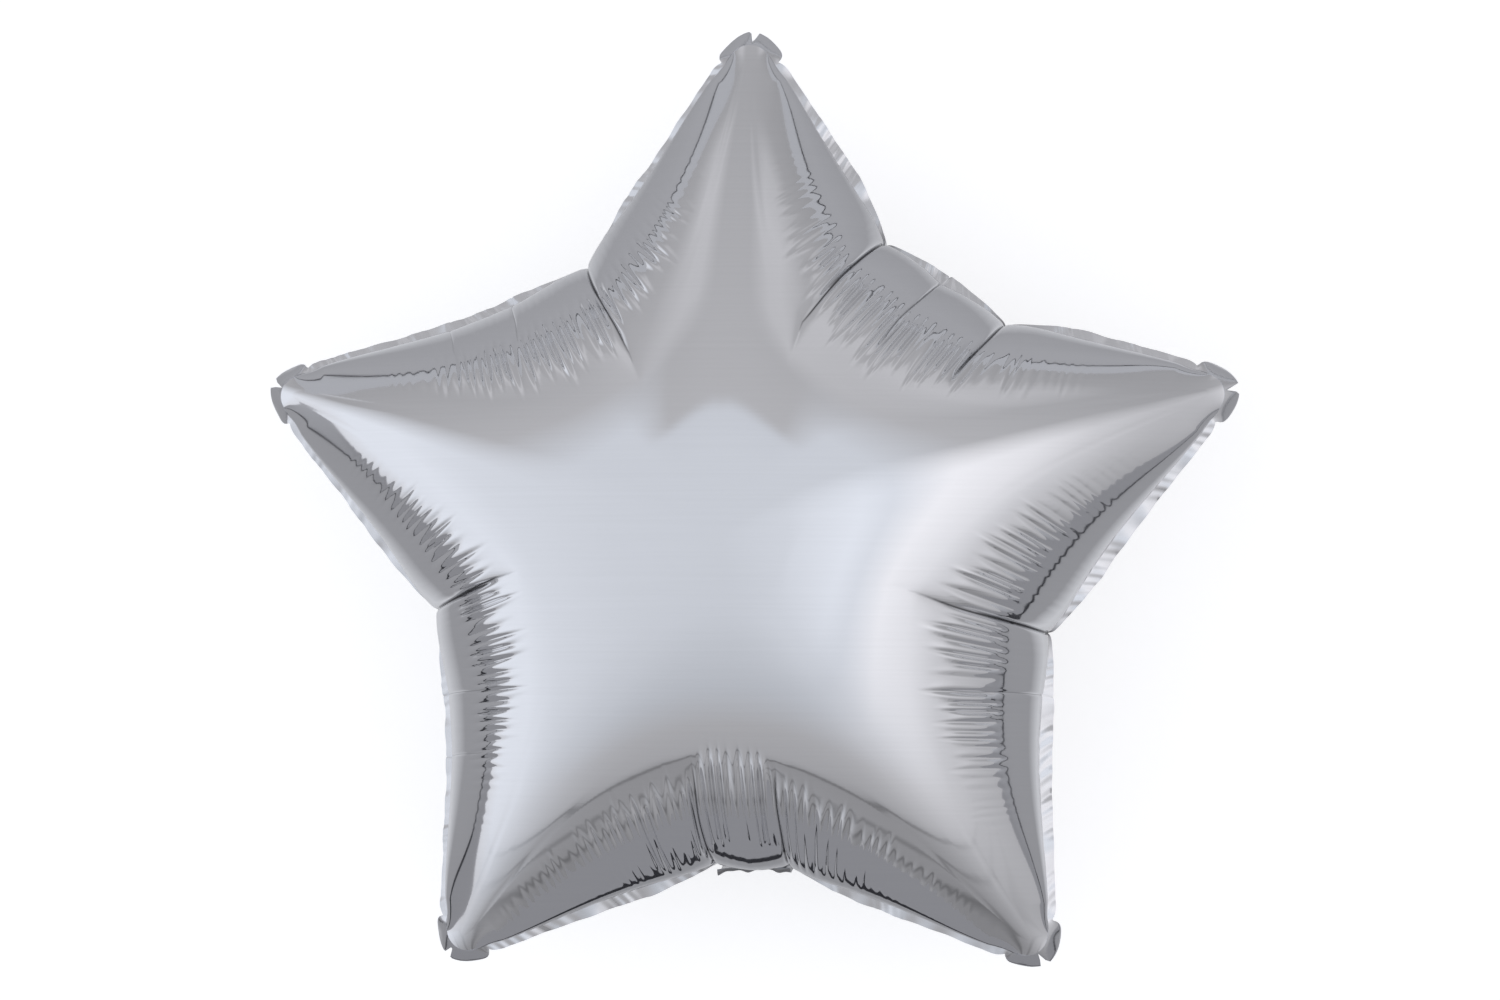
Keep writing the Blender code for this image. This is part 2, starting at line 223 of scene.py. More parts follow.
def crease_course(seam):
    """For each crease: distance of every column from it, and how it drifts as it runs in."""
    courses = []
    for crease, fold in zip(CREASES, seam.folds):
        notch, first, last, length, depth, width = crease
        angle = np.array([(notch + 0.5) * STEP + math.radians(first)])
        reach = seam_radius(angle)
        end = plan(reach - length, np.array([(notch + 0.5) * STEP + math.radians(last)]))
        run = (end - plan(reach, angle))[0]
        along = seam.tangent(angle)[0]
        gap = run[0] * along[1] - run[1] * along[0]
        courses.append((seam.aside(seam.arc, fold), abs(gap), run @ along, depth, width))
    return courses


def film_place(seam, courses, gap):
    """Plan of one row of film points, each so far in from the seam."""
    drift = np.zeros_like(gap)
    for aside, length, sideways, depth, width in courses:
        drift = drift + sideways * np.minimum(gap / length, 1.2) * np.exp(-(aside / 0.017) ** 2)
    return seam.foot - seam.outward * gap[:, None] + seam.along * drift[:, None]


def crease_pull(courses, gap):
    """How far the creases draw the film in, as a sharp cleft in a shallow valley."""
    pull = np.zeros_like(gap)
    for aside, length, sideways, depth, width in courses:
        run = np.clip(gap / length, 0.0, 1.0)
        strength = (1.0 - run ** 2) * (0.85 + 0.5 * run)
        wander = 0.0004 * np.sin(run * 7.0 + length * 900.0)
        away = np.abs(aside - wander)
        cleft = np.exp(-away / (width * (0.40 + 0.8 * run ** 2)))
        valley = np.exp(-(away / CREASE_BULGE) ** 2)
        pull = pull + depth * strength * (0.70 * cleft + 0.30 * valley)
    return pull


def painted_fold_shade(courses, gap):
    """Painted shade along the creases: how dark the film's colour is made in the folds, where it faces
    only itself.
    """
    painted_shade = np.zeros_like(gap)
    for aside, length, sideways, depth, width in courses:
        run = np.clip(gap / length, 0.0, 1.0)
        wander = 0.0004 * np.sin(run * 7.0 + length * 900.0)
        line = np.exp(-((aside - wander) / (0.00016 + 0.05 * depth)) ** 2)
        painted_shade = np.maximum(painted_shade, line * np.clip(4.0 - 4.0 * run, 0.0, 1.0) * min(1.0, depth / 0.0025))
    return painted_shade


def pinch(courses):
    """How far the seam is drawn in at each column, most at the ends of the deep creases."""
    drawn = 0.0
    for aside, length, sideways, depth, width in courses:
        share = np.clip((depth - 0.0012) / 0.0024, 0.0, 1.0)
        drawn = np.maximum(drawn, share * np.exp(-np.abs(aside) / PINCH_SPREAD))
    return drawn


def puckers(seam, gap, seed):
    """Fine gathers square to the seam, strongest on the shoulder of the film by the notches."""
    arc = seam.arc + seed
    phase = math.pi * arc / PUCKER_PITCH + 0.5 * np.sin(arc * 173.0) + 0.35 * np.sin(arc * 411.0)
    wave = np.sqrt(0.03 + np.sin(phase) ** 2) - 0.6
    uneven = 1.0 + 0.30 * np.sin(arc * 262.0) + 0.22 * np.sin(arc * 611.0 + 1.0)
    notch = np.exp(-(seam.from_notch / PUCKER_SPREAD) ** 4)
    low = np.clip(-2.5 * seam.outward[:, 1] - 1.4, 0.0, 1.0)
    start = (0.008 + 0.007 * notch) * (1.0 - low) + 0.0025 * low + 0.0010 * np.sin(arc * 310.0)
    end = seam.reach * (0.80 + 0.06 * np.sin(arc * 350.0) + 0.05 * np.sin(arc * 930.0))
    between = np.clip(seam.arc - seam.folds[6], 0.0, 0.004) * np.clip(seam.folds[5] - seam.arc, 0.0, 0.004)
    deep = between / 0.004 ** 2
    start = start + 0.007 * deep
    end = end + (0.97 * seam.reach - end) * deep
    rising = np.clip((gap - start) / (0.006 - 0.003 * low), 0.0, 1.0)
    rising = rising ** 2 * (3.0 - 2.0 * rising)
    ending = np.clip((end - gap) / (0.22 * end), 0.0, 1.0)
    ending = ending ** 2 * (3.0 - 2.0 * ending)
    depth = ARM_PUCKER_DEPTH + (PUCKER_DEPTH - ARM_PUCKER_DEPTH) * notch
    calm = PUCKER_CALM * (1.0 - 0.6 * low)
    depth = depth * np.clip((np.abs(seam.from_tip) - calm) / 0.035, 0.0, 1.0)
    return depth * uneven * wave * ending * (0.03 + 0.97 * rising)


def raised(place, side, rise, push, level, outward, drawn, fade, end):
    """Film points over the plan: pushed square to the smooth film, rolled out over the seam
    and drawn in by the pinched seam."""
    z = rise * dome(place)
    tilt = np.sqrt(np.maximum(1.0 - level ** 2, 0.0))
    roll = ROLL_WIDTH * (z / ROLL_HEIGHT) * np.exp(1.0 - z / ROLL_HEIGHT) * end * (1.0 - 0.8 * drawn)
    shift = level * push + (roll - PINCH_DEPTH * drawn) * fade
    place = place + outward * shift[:, None]
    z = z + tilt * push
    if side < 0:
        z = np.minimum(z, SEAM_LEVEL)
    return np.concatenate((place, (SEAM_LEVEL + side * z)[:, None]), axis=1)


def make_film(name, side, seed, rise, columns, outer_rows, inner_rows):
    """Film whose columns start square to the seam and then run on to a small middle ring."""
    seam = Seam(columns)
    courses = crease_course(seam)
    drawn = pinch(courses)
    end = np.clip((np.abs(seam.from_tip) - 0.008) / 0.016, 0.0, 1.0)
    rings = []
    painted_shades = []
    for row in range(outer_rows):
        turn = math.radians(90.0 * (1.0 - row / (outer_rows - 1.0)))
        gap = seam.reach * (1.0 - math.sin(turn))
        push = puckers(seam, gap, seed) - crease_pull(courses, gap)
        level = 1.0 - 0.55 * np.sqrt(gap / SHOULDER) if row else np.ones(columns)
        painted_shades.append(painted_fold_shade(courses, gap))
        place = film_place(seam, courses, gap)
        fade = (1.0 - gap / seam.reach) ** 2
        rings.append(raised(place, side, rise, push, level, seam.outward, drawn, fade, end))
    shoulder = film_place(seam, courses, seam.reach)[::COLUMNS_JOINED]
    pull = crease_pull(courses, seam.reach)[::COLUMNS_JOINED]
    turns = 2.0 * math.pi * seam.arc / seam.length
    middle_ring = plan(np.full(columns, MIDDLE_RING), turns)[::COLUMNS_JOINED]
    fewer = len(shoulder)
    none = np.zeros(fewer)
    inner = []
    for row in range(1, inner_rows + 1):
        share = row / float(inner_rows)
        fade = max(0.0, 1.0 - 5.0 * share)
        place = shoulder * (1.0 - share) + middle_ring * share
        outward = seam.outward[::COLUMNS_JOINED]
        inner.append(raised(place, side, rise, -pull * fade, none + 0.4, outward, none, none, none))
    zero = np.zeros(1)
    tip = raised(np.zeros((1, 2)), side, rise, zero, zero, np.zeros((1, 2)), zero, zero, zero)
    points = np.concatenate(rings + inner + [tip])
    faces = []
    k = np.arange(columns)
    for row in range(outer_rows - 1):
        a, b = row * columns + k, row * columns + (k + 1) % columns
        faces.append(np.stack((a, b, b + columns, a + columns), axis=1))
    first = outer_rows * columns
    k = np.arange(fewer)
    for row in range(inner_rows - 1):
        a, b = first + row * fewer + k, first + row * fewer + (k + 1) % fewer
        faces.append(np.stack((a, b, b + fewer, a + fewer), axis=1))
    last = (outer_rows - 1) * columns
    a, b = first + k, first + (k + 1) % fewer
    near = [last + (k * COLUMNS_JOINED + i) % columns for i in range(COLUMNS_JOINED + 1)]
    half = COLUMNS_JOINED // 2
    joins = [np.stack((near[i], near[i + 1], a if i < half else b), axis=1)
             for i in range(COLUMNS_JOINED)]
    joins.append(np.stack((near[half], b, a), axis=1))
    end = first + (inner_rows - 1) * fewer
    centre = np.full(fewer, len(points) - 1)
    joins.append(np.stack((end + k, end + (k + 1) % fewer, centre), axis=1))
    corners = np.concatenate(faces).tolist() + np.concatenate(joins).tolist()
    if side < 0:
        corners = [face[::-1] for face in corners]
    mesh = bpy.data.meshes.new(name)
    mesh.from_pydata(points.tolist(), [], corners)
    mesh.update()
    mesh.shade_smooth()
    # Painted shade in the creases goes into the fold attribute, which darkens the foil's colour.
    painted_shade = np.zeros(len(points))
    painted_shade[:first] = np.concatenate(painted_shades)
    mesh.attributes.new("fold", "FLOAT", "POINT").data.foreach_set("value", painted_shade)
    film = bpy.data.objects.new(name, mesh)
    bpy.context.scene.collection.objects.link(film)
    return film


def foil(name, colour, roughness):
    """Silver-coated film: nearly a mirror, with faint rolling marks and cloudy patches, its colour
    darkened towards near black by the painted shade held in the fold attribute.
    """
    material = bpy.data.materials.new(name)
    material.use_nodes = True
    nodes, links = material.node_tree.nodes, material.node_tree.links
    shader = nodes["Principled BSDF"]
    shader.inputs["Metallic"].default_value = 1.0
    place = nodes.new("ShaderNodeTexCoord")
    stretch = nodes.new("ShaderNodeMapping")
    stretch.inputs["Rotation"].default_value = (0.0, 0.0, math.radians(38.0))
    stretch.inputs["Scale"].default_value = (14.0, 900.0, 14.0)
    streaks = nodes.new("ShaderNodeTexNoise")
    streaks.inputs["Scale"].default_value = 1.0
    streaks.inputs["Detail"].default_value = 3.0
    clouds = nodes.new("ShaderNodeTexNoise")
    clouds.inputs["Scale"].default_value = 22.0
    clouds.inputs["Detail"].default_value = 4.0
    links.new(place.outputs["Object"], stretch.inputs["Vector"])
    links.new(stretch.outputs["Vector"], streaks.inputs["Vector"])
    links.new(place.outputs["Object"], clouds.inputs["Vector"])
    tint = nodes.new("ShaderNodeMix")
    tint.data_type = "RGBA"
    tint.inputs["A"].default_value = tuple(c * 0.975 for c in colour) + (1.0,)
    tint.inputs["B"].default_value = tuple(min(1.0, c * 1.02) for c in colour) + (1.0,)
    links.new(streaks.outputs["Fac"], tint.inputs["Factor"])
    # Painted shade: the fold attribute mixes the colour towards near black in creases and crumples.
    fold = nodes.new("ShaderNodeAttribute")
    fold.attribute_name = "fold"
    painted_shade_mix = nodes.new("ShaderNodeMix")
    painted_shade_mix.data_type = "RGBA"
    painted_shade_mix.inputs["B"].default_value = (0.07, 0.07, 0.075, 1.0)
    links.new(fold.outputs["Fac"], painted_shade_mix.inputs["Factor"])
    links.new(tint.outputs["Result"], painted_shade_mix.inputs["A"])
    links.new(painted_shade_mix.outputs["Result"], shader.inputs["Base Color"])
    gloss = nodes.new("ShaderNodeMapRange")
    gloss.inputs["From Min"].default_value = 0.3
    gloss.inputs["From Max"].default_value = 0.7
    gloss.inputs["To Min"].default_value = roughness * 0.85
    gloss.inputs["To Max"].default_value = roughness * 1.2
    links.new(clouds.outputs["Fac"], gloss.inputs["Value"])
    links.new(gloss.outputs["Result"], shader.inputs["Roughness"])
    bump = nodes.new("ShaderNodeBump")
    bump.inputs["Strength"].default_value = 0.08
    bump.inputs["Distance"].default_value = 0.00005
    links.new(streaks.outputs["Fac"], bump.inputs["Height"])
    links.new(bump.outputs["Normal"], shader.inputs["Normal"])
    return material


front_film = make_film("front_film", 1.0, 0.0, FRONT_RISE, FILM_COLUMNS, FRONT_ROWS, FRONT_INNER_ROWS)
front_film.data.materials.append(foil("front_foil", (0.83, 0.835, 0.85), 0.060))
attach(front_film, "root")
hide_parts("foil_balloon")

# The back film is a second sheet of silver-coated plastic, cut as the front one and sealed to
# it. The balloon lies on it, so its middle is pressed flat against the floor. Its gathers
# start elsewhere along the seam than those of the front.
BACK_COLUMNS = 1600
BACK_ROWS = 24
BACK_INNER_ROWS = 12
BACK_START = 0.71
back_film = make_film("back_film", -1.0, BACK_START, BACK_RISE, BACK_COLUMNS, BACK_ROWS, BACK_INNER_ROWS)
back_film.data.materials.append(foil("back_foil", (0.82, 0.825, 0.84), 0.095))
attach(back_film, "root")
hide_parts("foil_balloon")

# The border is where the two sheets are heat-sealed together: a flat strip all round the
# star that leans back a little, narrows towards each crease and is left as a small lobed cap
# beyond the end of each arm. At the bottom notch, by the neck, it is narrower and has painted shade with a
# fine ripple in place of crumpling.
BORDER_WIDTH = 0.0086
BORDER_LEAN = 20.0
BORDER_TIP_WIDTH = 0.0036
BORDER_THICKNESS = 0.0003
BORDER_TAPER = 0.034
DEEP_FOLD = 0.002
CRUMPLE_HALF = 0.021
CAP_LEAN = 45.0
CAP_WIDTH = 0.0092
CAP_SPAN = 0.0158
CAP_CLEFT = 0.0088
BORDER_ROWS = 8


def border_rows():
    """Rows of the border from the seam outwards, and the painted shade for each of their points."""
    seam = Seam(FILM_COLUMNS)
    courses = crease_course(seam)
    pull = crease_pull(courses, np.zeros(FILM_COLUMNS)) + PINCH_DEPTH * pinch(courses)
    start = seam.foot - seam.outward * pull[:, None]
    beside = np.abs(seam.from_tip)
    cap = np.sqrt(np.clip(1.0 - (beside / CAP_SPAN) ** 4, 0.0, 1.0))
    cleft = np.clip(1.0 - np.abs(seam.from_tip - 0.001) / 0.0012, 0.0, 1.0)
    opening = np.clip((beside - CAP_SPAN + 0.001) / 0.008, 0.0, 1.0)
    narrow = np.exp(-(beside / 0.050) ** 2)
    strip = BORDER_WIDTH - (BORDER_WIDTH - BORDER_TIP_WIDTH) * narrow
    strip = strip * np.sqrt(opening * (2.0 - opening))
    for aside, length, sideways, depth, width in courses:
        if depth > DEEP_FOLD:
            strip = strip * (0.14 + 0.86 * np.clip(np.abs(aside) / BORDER_TAPER, 0.0, 1.0) ** 0.8)
    base = np.abs(seam.aside(seam.arc, 0.5 * (seam.folds[5] + seam.folds[6])))
    crumpled = np.clip((CRUMPLE_HALF - base) / 0.003, 0.0, 1.0)
    strip = strip * (1.0 - 0.35 * crumpled)
    lean = np.radians(BORDER_LEAN + (CAP_LEAN - BORDER_LEAN) * cap)
    reach = np.maximum(strip, CAP_WIDTH * cap - CAP_CLEFT * cleft)
    wave = 0.0005 * np.sin(seam.arc * 160.0) + 0.0005 * np.sin(seam.arc * 373.0 + 1.3)
    wave = wave * (1.0 - 0.6 * cap)
    uneven = 0.5 + 0.5 * np.sin(seam.arc * 131.0 + 1.7 * np.sin(seam.arc * 57.0))
    rows = []
    for row in range(BORDER_ROWS):
        share = row / (BORDER_ROWS - 1.0)
        out = reach * share
        phase = seam.arc * 1150.0 + out * 700.0 + 3.0 * np.sin(seam.arc * 97.0)
        crinkle = 0.00016 * uneven * np.sin(phase)
        cupped = 0.0016 * cap * share ** 2 * np.cos((beside / CAP_SPAN - 0.5) * math.pi)
        crinkled = crinkle * min(1.0, 3.0 * share) * (1.0 - cap)
        height = wave * share * reach / BORDER_WIDTH + crinkled - cupped
        place = start + seam.outward * (out * np.cos(lean) + height * np.sin(lean))[:, None]
        z = SEAM_LEVEL - out * np.sin(lean) + height * np.cos(lean)
        rows.append(np.concatenate((place, z[:, None]), axis=1))
    # Painted shade: darker next to the deep creases and, with a fine ripple, where the neck meets the
    # border.
    painted_shade = 0.0
    for aside, length, sideways, depth, width in courses:
        if depth > DEEP_FOLD:
            painted_shade = np.maximum(painted_shade, 0.75 * np.exp(-np.abs(aside) / 0.007))
    painted_shade = np.maximum(painted_shade, crumpled * (0.80 + 0.15 * np.sin(seam.arc * 1900.0)))
    return rows, np.tile(painted_shade, 2 * BORDER_ROWS)


def strip_mesh(name, rows, thickness, closed, painted_shade=None):
    """Thin closed strip between an upper and a lower copy of the same rows."""
    count = len(rows[0])
    half = np.array((0.0, 0.0, 0.5 * thickness))
    points = np.concatenate([row + half for row in rows] + [row - half for row in rows])
    columns = np.arange(count if closed else count - 1)
    after = (columns + 1) % count
    lower = len(rows) * count
    faces = []
    for row in range(len(rows) - 1):
        a, b = row * count + columns, row * count + after
        faces.append(np.stack((a, a + count, b + count, b), axis=1))
        faces.append(np.stack((lower + a, lower + b, lower + b + count, lower + a + count), axis=1))
    edge = (len(rows) - 1) * count
    for row, flip in ((0, False), (edge, True)):
        a, b = row + columns, row + after
        wall = np.stack((a, b, lower + b, lower + a), axis=1)
        faces.append(wall[:, ::-1] if flip else wall)
    corners = np.concatenate(faces).tolist()
    if not closed:
        for column, flip in ((0, False), (count - 1, True)):
            for row in range(len(rows) - 1):
                a = row * count + column
                wall = [a, lower + a, lower + a + count, a + count]
                corners.append(wall[::-1] if flip else wall)
    mesh = bpy.data.meshes.new(name)
    mesh.from_pydata(points.tolist(), [], corners)
    mesh.update()
    mesh.shade_smooth()
    mesh.set_sharp_from_angle(angle=math.radians(60.0))
    if painted_shade is not None:
        mesh.attributes.new("fold", "FLOAT", "POINT").data.foreach_set("value", painted_shade)
    strip = bpy.data.objects.new(name, mesh)
    bpy.context.scene.collection.objects.link(strip)
    return strip


border, painted_border_shade = border_rows()
sealed_border = strip_mesh("sealed_border", border, BORDER_THICKNESS, True, painted_border_shade)
sealed_border.data.materials.append(foil("border_foil", (0.80, 0.805, 0.82), 0.13))
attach(sealed_border, "root")
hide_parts("foil_balloon")

# The filling neck is a flat tube of the same two sheets, sealed along its sides, that runs
# out of the bottom notch between its two creases. The gas goes in there, and it hangs limp
# behind the balloon once it is filled.
NECK_NOTCH = 2
NECK_OFFSET = -1.35
NECK_WIDTH = 0.034
NECK_LENGTH = 0.062
NECK_FOLD = 0.0020
NECK_LEAN = 16.0
NECK_ROWS = 25
FOLD_ROWS = 6
NECK_POINTS = 41
middle = (NECK_NOTCH + 0.5) * STEP + math.radians(NECK_OFFSET)
neck_rows = []
for step in range(NECK_ROWS):
    turn = math.radians(90.0 + NECK_LEAN) * min(1.0, step / float(FOLD_ROWS))
    run = (NECK_LENGTH - NECK_FOLD) * max(0.0, (step - FOLD_ROWS) / (NECK_ROWS - 1.0 - FOLD_ROWS))
    out = NECK_FOLD * math.sin(turn) + run * math.cos(math.radians(90.0 + NECK_LEAN))
    down = -NECK_FOLD * (1.0 - math.cos(turn)) - run * math.sin(math.radians(90.0 + NECK_LEAN))
    across = np.linspace(-0.5, 0.5, NECK_POINTS) * NECK_WIDTH
    start = NOTCH_RADIUS + 0.0010
    bow = across ** 2 * 4.0
    ripple = (0.0009 * np.sin(across * 420.0 + step * 0.11)
              + 0.0005 * np.sin(across * 900.0 - step * 0.23)) * min(1.0, step / 8.0)
    reach = start + bow + out + ripple
    x = reach * math.sin(middle) + across * math.cos(middle)
    y = reach * math.cos(middle) - across * math.sin(middle)
    neck_rows.append(np.stack((x, y, np.full_like(x, SEAM_LEVEL - 0.0012 + down)), axis=1))
# Painted shade on the neck, darkest where it leaves the notch and fading over its first rows.
painted_neck_shade = np.concatenate([np.full(NECK_POINTS, max(0.0, 0.8 - 0.10 * step)) for step in range(NECK_ROWS)])
filling_neck = strip_mesh("filling_neck", neck_rows, BORDER_THICKNESS, False, np.tile(painted_neck_shade, 2))
filling_neck.data.materials.append(foil("neck_foil", (0.80, 0.805, 0.82), 0.12))
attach(filling_neck, "root")
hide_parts("foil_balloon")

# Floor: a wide level floor that the camera sees as plain white with a soft shadow. In the
# foil it shows as a pale sheet under the balloon on a grey table, with a thin dark gap past the
# table's edges and a paler floor beyond them. The glow on the sheet and table in the foil is
# painted light; the dark gap and the darkening towards the front are painted shade.
FLOOR_HALF = 4.0
PAPER = (0.74, 0.74, 0.745, 1.0)
SHEET_HALF = (0.22, 0.13)
SHEET_EDGE = 0.11
TABLE_EDGE = 0.88
TABLE_FRONT = 0.270
PAINTED_GAP = 0.09
PAINTED_FRONT_GAP = 0.036
floor_mesh = bpy.data.meshes.new("floor")
floor_mesh.from_pydata([(-FLOOR_HALF, -FLOOR_HALF, 0), (FLOOR_HALF, -FLOOR_HALF, 0),
                        (FLOOR_HALF, FLOOR_HALF, 0), (-FLOOR_HALF, FLOOR_HALF, 0)], [], [(0, 1, 2, 3)])
floor = bpy.data.objects.new("floor", floor_mesh)
bpy.context.scene.collection.objects.link(floor)
floor_paint = bpy.data.materials.new("floor_paint")
floor_paint.use_nodes = True
nodes, links = floor_paint.node_tree.nodes, floor_paint.node_tree.links
nodes.clear()


def math_node(kind, first, second=None):
    node = nodes.new("ShaderNodeMath")
    node.operation = kind
    for socket, value in zip(node.inputs, (first, second)):
        if value is None:
            continue
        if isinstance(value, (int, float)):
            socket.default_value = value
        else:
            links.new(value, socket)
    return node.outputs[0]


place = nodes.new("ShaderNodeTexCoord")
axes = nodes.new("ShaderNodeSeparateXYZ")
links.new(place.outputs["Object"], axes.inputs[0])
past_side = []
for axis, half in zip("XY", SHEET_HALF):
    beyond_half = math_node("SUBTRACT", math_node("ABSOLUTE", axes.outputs[axis]), half)
    past_side.append(math_node("POWER", math_node("MAXIMUM", beyond_half, 0.0), 2.0))
past = math_node("SQRT", math_node("ADD", past_side[0], past_side[1]))
away = math_node("MINIMUM", math_node("DIVIDE", past, SHEET_EDGE), 1.0)


def blend(share, first, second):
    """Mix of two colours, each a tuple or the output of a node."""
    node = nodes.new("ShaderNodeMix")
    node.data_type = "RGBA"
    links.new(share, node.inputs["Factor"])
    for name, colour in (("A", first), ("B", second)):
        if isinstance(colour, tuple):
            node.inputs[name].default_value = colour
        else:
            links.new(colour, node.inputs[name])
    return node.outputs["Result"]


def past_edge(back, front):
    """1 past a round table's edge or its straight front, 0 on the table."""
    reach = math_node("SQRT", math_node("ADD", math_node("POWER", axes.outputs["X"], 2.0),
                                        math_node("POWER", axes.outputs["Y"], 2.0)))
    return math_node("MAXIMUM", math_node("GREATER_THAN", reach, back),
                     math_node("LESS_THAN", axes.outputs["Y"], -front))


# Painted shade: the table and the paler floor beyond it get darker towards the front.
to_front = nodes.new("ShaderNodeMapRange")
to_front.inputs["From Min"].default_value = 0.45
to_front.inputs["From Max"].default_value = -0.35
links.new(axes.outputs["Y"], to_front.inputs["Value"])
painted_front_shade = to_front.outputs["Result"]
table = blend(away, PAPER,
              blend(painted_front_shade, (0.52, 0.515, 0.52, 1.0), (0.37, 0.365, 0.37, 1.0)))
# Painted shade: a thin near-black gap past the table's edges.
beyond = blend(past_edge(TABLE_EDGE + PAINTED_GAP, TABLE_FRONT + PAINTED_FRONT_GAP), (0.05, 0.05, 0.055, 1.0),
               blend(painted_front_shade, PAPER, (0.45, 0.445, 0.45, 1.0)))
off_table = past_edge(TABLE_EDGE, TABLE_FRONT)
in_foil = blend(off_table, table, beyond)
path = nodes.new("ShaderNodeLightPath")
matt = nodes.new("ShaderNodeBsdfDiffuse")
links.new(blend(path.outputs["Is Camera Ray"], in_foil, PAPER), matt.inputs["Color"])
glow = nodes.new("ShaderNodeEmission")
mirrored = math_node("MAXIMUM", path.outputs["Is Glossy Ray"], path.outputs["Is Transmission Ray"])
# Painted light: a glow seen only in reflections, brightest on the sheet, fainter across the table and none
# off it.
near = math_node("MULTIPLY", math_node("SUBTRACT", 0.22, math_node("MULTIPLY", away, 0.14)),
                 math_node("SUBTRACT", 1.0, off_table))
links.new(math_node("ADD", math_node("MULTIPLY", path.outputs["Is Camera Ray"], 0.60),
                    math_node("MULTIPLY", mirrored, near)), glow.inputs["Strength"])
both = nodes.new("ShaderNodeAddShader")
links.new(matt.outputs[0], both.inputs[0])
links.new(glow.outputs[0], both.inputs[1])
surface = nodes.new("ShaderNodeOutputMaterial")
links.new(both.outputs[0], surface.inputs["Surface"])
floor_mesh.materials.append(floor_paint)

# Studio light: a room that is pale overhead, brightest from wide lights on the left and the
# right, and greyer ahead, behind and lower down. Each side of the room has its own row of
# (degrees from overhead, brightness, tint), and neighbouring sides blend into each other.
world = bpy.data.worlds.new("studio")
bpy.context.scene.world = world
world.use_nodes = True
nodes, links = world.node_tree.nodes, world.node_tree.links
FOIL_LOSS = 0.84
LEAN_RIGHT = 8.0
LEAN_DOWN = 2.0


def shown_as(level, tint=(1.0, 1.0, 1.0)):
    """Light that the foil shows as a grey of so many of 255 steps."""
    share = level / 255.0
    linear = share / 12.92 if share <= 0.04045 else ((share + 0.055) / 1.055) ** 2.4
    return tuple(linear / FOIL_LOSS * c for c in tint) + (1.0,)


COOL = (0.955, 0.99, 1.07)
NEUTRAL = (0.985, 0.98, 1.02)
SIDES = {
    "up": ((0, 205, COOL), (18, 205, COOL), (25, 202, COOL), (27, 178, NEUTRAL), (40, 174, NEUTRAL),
           (47, 187, NEUTRAL), (64, 190, NEUTRAL), (76, 181, NEUTRAL), (84, 160, NEUTRAL),
           (100, 150, NEUTRAL), (150, 140, NEUTRAL)),
    "crest": ((0, 205, COOL), (18, 205, COOL), (25, 202, COOL), (27, 178, NEUTRAL), (54, 172, NEUTRAL),
              (90, 162, NEUTRAL), (100, 150, NEUTRAL), (150, 140, NEUTRAL)),
    "slant": ((0, 205, COOL), (32, 206, COOL), (46, 178, NEUTRAL), (60, 170, NEUTRAL),
              (80, 162, NEUTRAL), (100, 150, NEUTRAL), (150, 138, NEUTRAL)),
    "right": ((0, 205, COOL), (14, 213, COOL), (28, 230, COOL), (33, 222, COOL), (42, 241, NEUTRAL),
              (54, 228, NEUTRAL), (66, 204, NEUTRAL), (78, 190, NEUTRAL), (90, 180, NEUTRAL),
              (150, 128, NEUTRAL)),
    "down": ((0, 205, COOL), (18, 202, COOL), (34, 184, COOL), (46, 168, NEUTRAL),
             (56, 162, NEUTRAL), (59, 152, NEUTRAL), (60, 88, NEUTRAL), (61.2, 142, NEUTRAL),
             (69, 143, NEUTRAL), (71.5, 116, NEUTRAL), (74, 140, NEUTRAL), (81, 137, NEUTRAL),
             (84, 102, NEUTRAL), (88, 132, NEUTRAL), (97, 130, NEUTRAL), (150, 120, NEUTRAL)),
    "left": ((0, 205, COOL), (24, 208, COOL), (48, 217, COOL), (62, 228, COOL), (76, 228, COOL),
             (90, 208, NEUTRAL), (100, 178, NEUTRAL), (150, 124, NEUTRAL)),
}
place = nodes.new("ShaderNodeTexCoord")
axes = nodes.new("ShaderNodeSeparateXYZ")
turned = nodes.new("ShaderNodeMapping")
turned.inputs["Rotation"].default_value = (math.radians(LEAN_DOWN), math.radians(LEAN_RIGHT), 0.0)
links.new(place.outputs["Generated"], turned.inputs["Vector"])
links.new(turned.outputs["Vector"], axes.inputs[0])
clamped = math_node("MINIMUM", math_node("MAXIMUM", axes.outputs["Z"], -1.0), 1.0)
zenith = math_node("DIVIDE", math_node("ARCCOSINE", clamped), math.pi)
below = math_node("DIVIDE", math_node("ARCTAN2", math_node("MULTIPLY", axes.outputs["Y"], -1.0),
                                      axes.outputs["Z"]), math.pi)
flat = math_node("ADD", math_node("ADD", math_node("POWER", axes.outputs["X"], 2.0),
                                  math_node("POWER", axes.outputs["Y"], 2.0)), 1e-5)


def squared(source, sign):
    """Square of the part of a value that has the given sign."""
    return math_node("POWER", math_node("MAXIMUM", math_node("MULTIPLY", source, sign), 0.0), 2.0)


up_part = math_node("DIVIDE", squared(axes.outputs["Y"], 1.0), flat)
down_share = math_node("DIVIDE", squared(axes.outputs["Y"], -1.0), flat)


def ramped(start, slope):
    """Share of a side of the room that begins this far round towards the top of the picture."""
    rise = math_node("MULTIPLY", math_node("SUBTRACT", up_part, start), slope)
    return math_node("MINIMUM", math_node("MAXIMUM", rise, 0.0), 1.0)


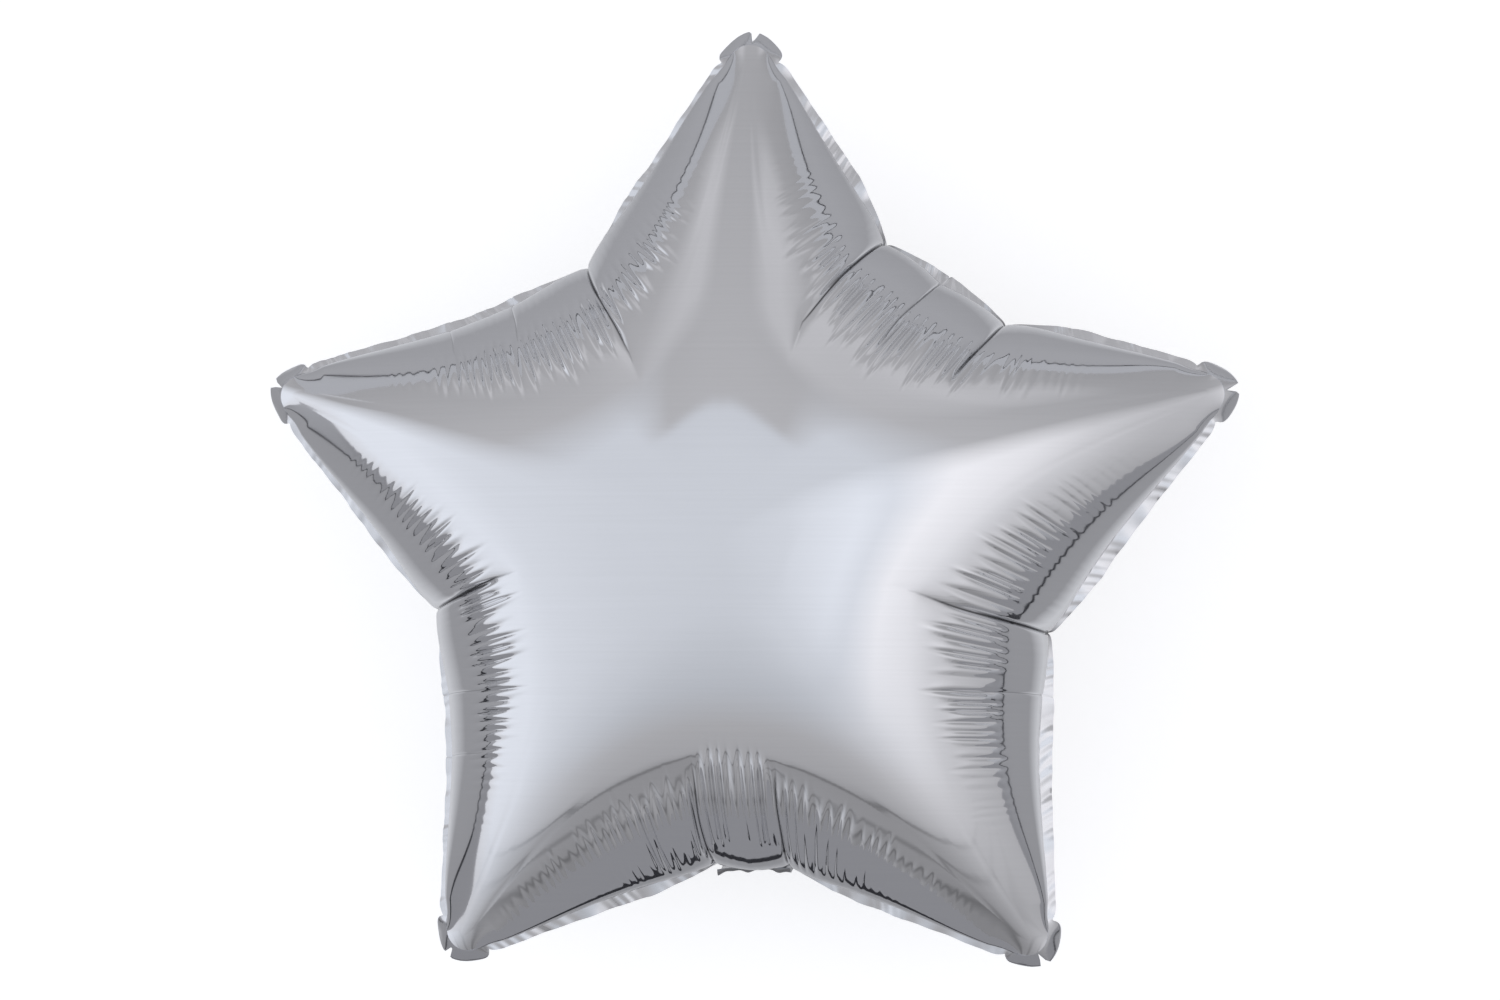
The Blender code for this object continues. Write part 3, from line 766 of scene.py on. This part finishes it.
above_share = ramped(0.06, 4.5)
upward = ramped(0.58, 6.0)
crest = ramped(0.84, 9.0)
aside_share = math_node("SUBTRACT", math_node("SUBTRACT", 1.0, above_share), down_share)
to_right = math_node("GREATER_THAN", axes.outputs["X"], 0.0)
toward = {
    "up": math_node("MULTIPLY", upward, math_node("SUBTRACT", 1.0, crest)),
    "crest": crest,
    "slant": math_node("MULTIPLY", above_share, math_node("SUBTRACT", 1.0, upward)),
    "down": down_share,
    "right": math_node("MULTIPLY", aside_share, to_right),
    "left": math_node("MULTIPLY", aside_share, math_node("SUBTRACT", 1.0, to_right)),
}
total = None
for side, stops in SIDES.items():
    ramp = nodes.new("ShaderNodeValToRGB")
    links.new(below if side == "down" else zenith, ramp.inputs["Fac"])
    marks = ramp.color_ramp.elements
    while len(marks) < len(stops):
        marks.new(0.5)
    for mark, (degrees, level, tint) in zip(marks, stops):
        mark.position = degrees / 180.0
        mark.color = shown_as(level, tint)
    part = nodes.new("ShaderNodeVectorMath")
    part.operation = "SCALE"
    links.new(ramp.outputs["Color"], part.inputs[0])
    links.new(toward[side], part.inputs["Scale"])
    if total is None:
        total = part.outputs[0]
    else:
        added = nodes.new("ShaderNodeVectorMath")
        added.operation = "ADD"
        links.new(total, added.inputs[0])
        links.new(part.outputs[0], added.inputs[1])
        total = added.outputs[0]
links.new(total, nodes["Background"].inputs["Color"])

# Camera: high above the balloon with a long lens, a little to the right of and below its
# middle, turned to face it. A pixel of the photograph is 0.46 mm.
PHOTO_WIDTH = 1500.0
PHOTO_HEIGHT = 1000.0
SENSOR = 36.0
PIXEL = 0.00046
VIEW_HEIGHT = 3.2
STAR_X = 747.0
STAR_Y = 543.5
camera = bpy.data.objects.new("camera", bpy.data.cameras.new("camera"))
bpy.context.scene.collection.objects.link(camera)
camera.data.sensor_width = SENSOR
lean_x, lean_y = math.radians(LEAN_RIGHT), math.radians(LEAN_DOWN)
away = VIEW_HEIGHT - SEAM_LEVEL
camera.location = ((0.5 * PHOTO_WIDTH - STAR_X) * PIXEL + away * math.tan(lean_x),
                   (STAR_Y - 0.5 * PHOTO_HEIGHT) * PIXEL - away * math.tan(lean_y), VIEW_HEIGHT)
camera.data.lens = SENSOR * away / math.cos(lean_x) / (PHOTO_WIDTH * PIXEL)
camera.rotation_mode = "YXZ"
camera.rotation_euler = (lean_y, lean_x, 0.0)
bpy.context.scene.camera = camera
bpy.context.scene.view_settings.view_transform = "Standard"
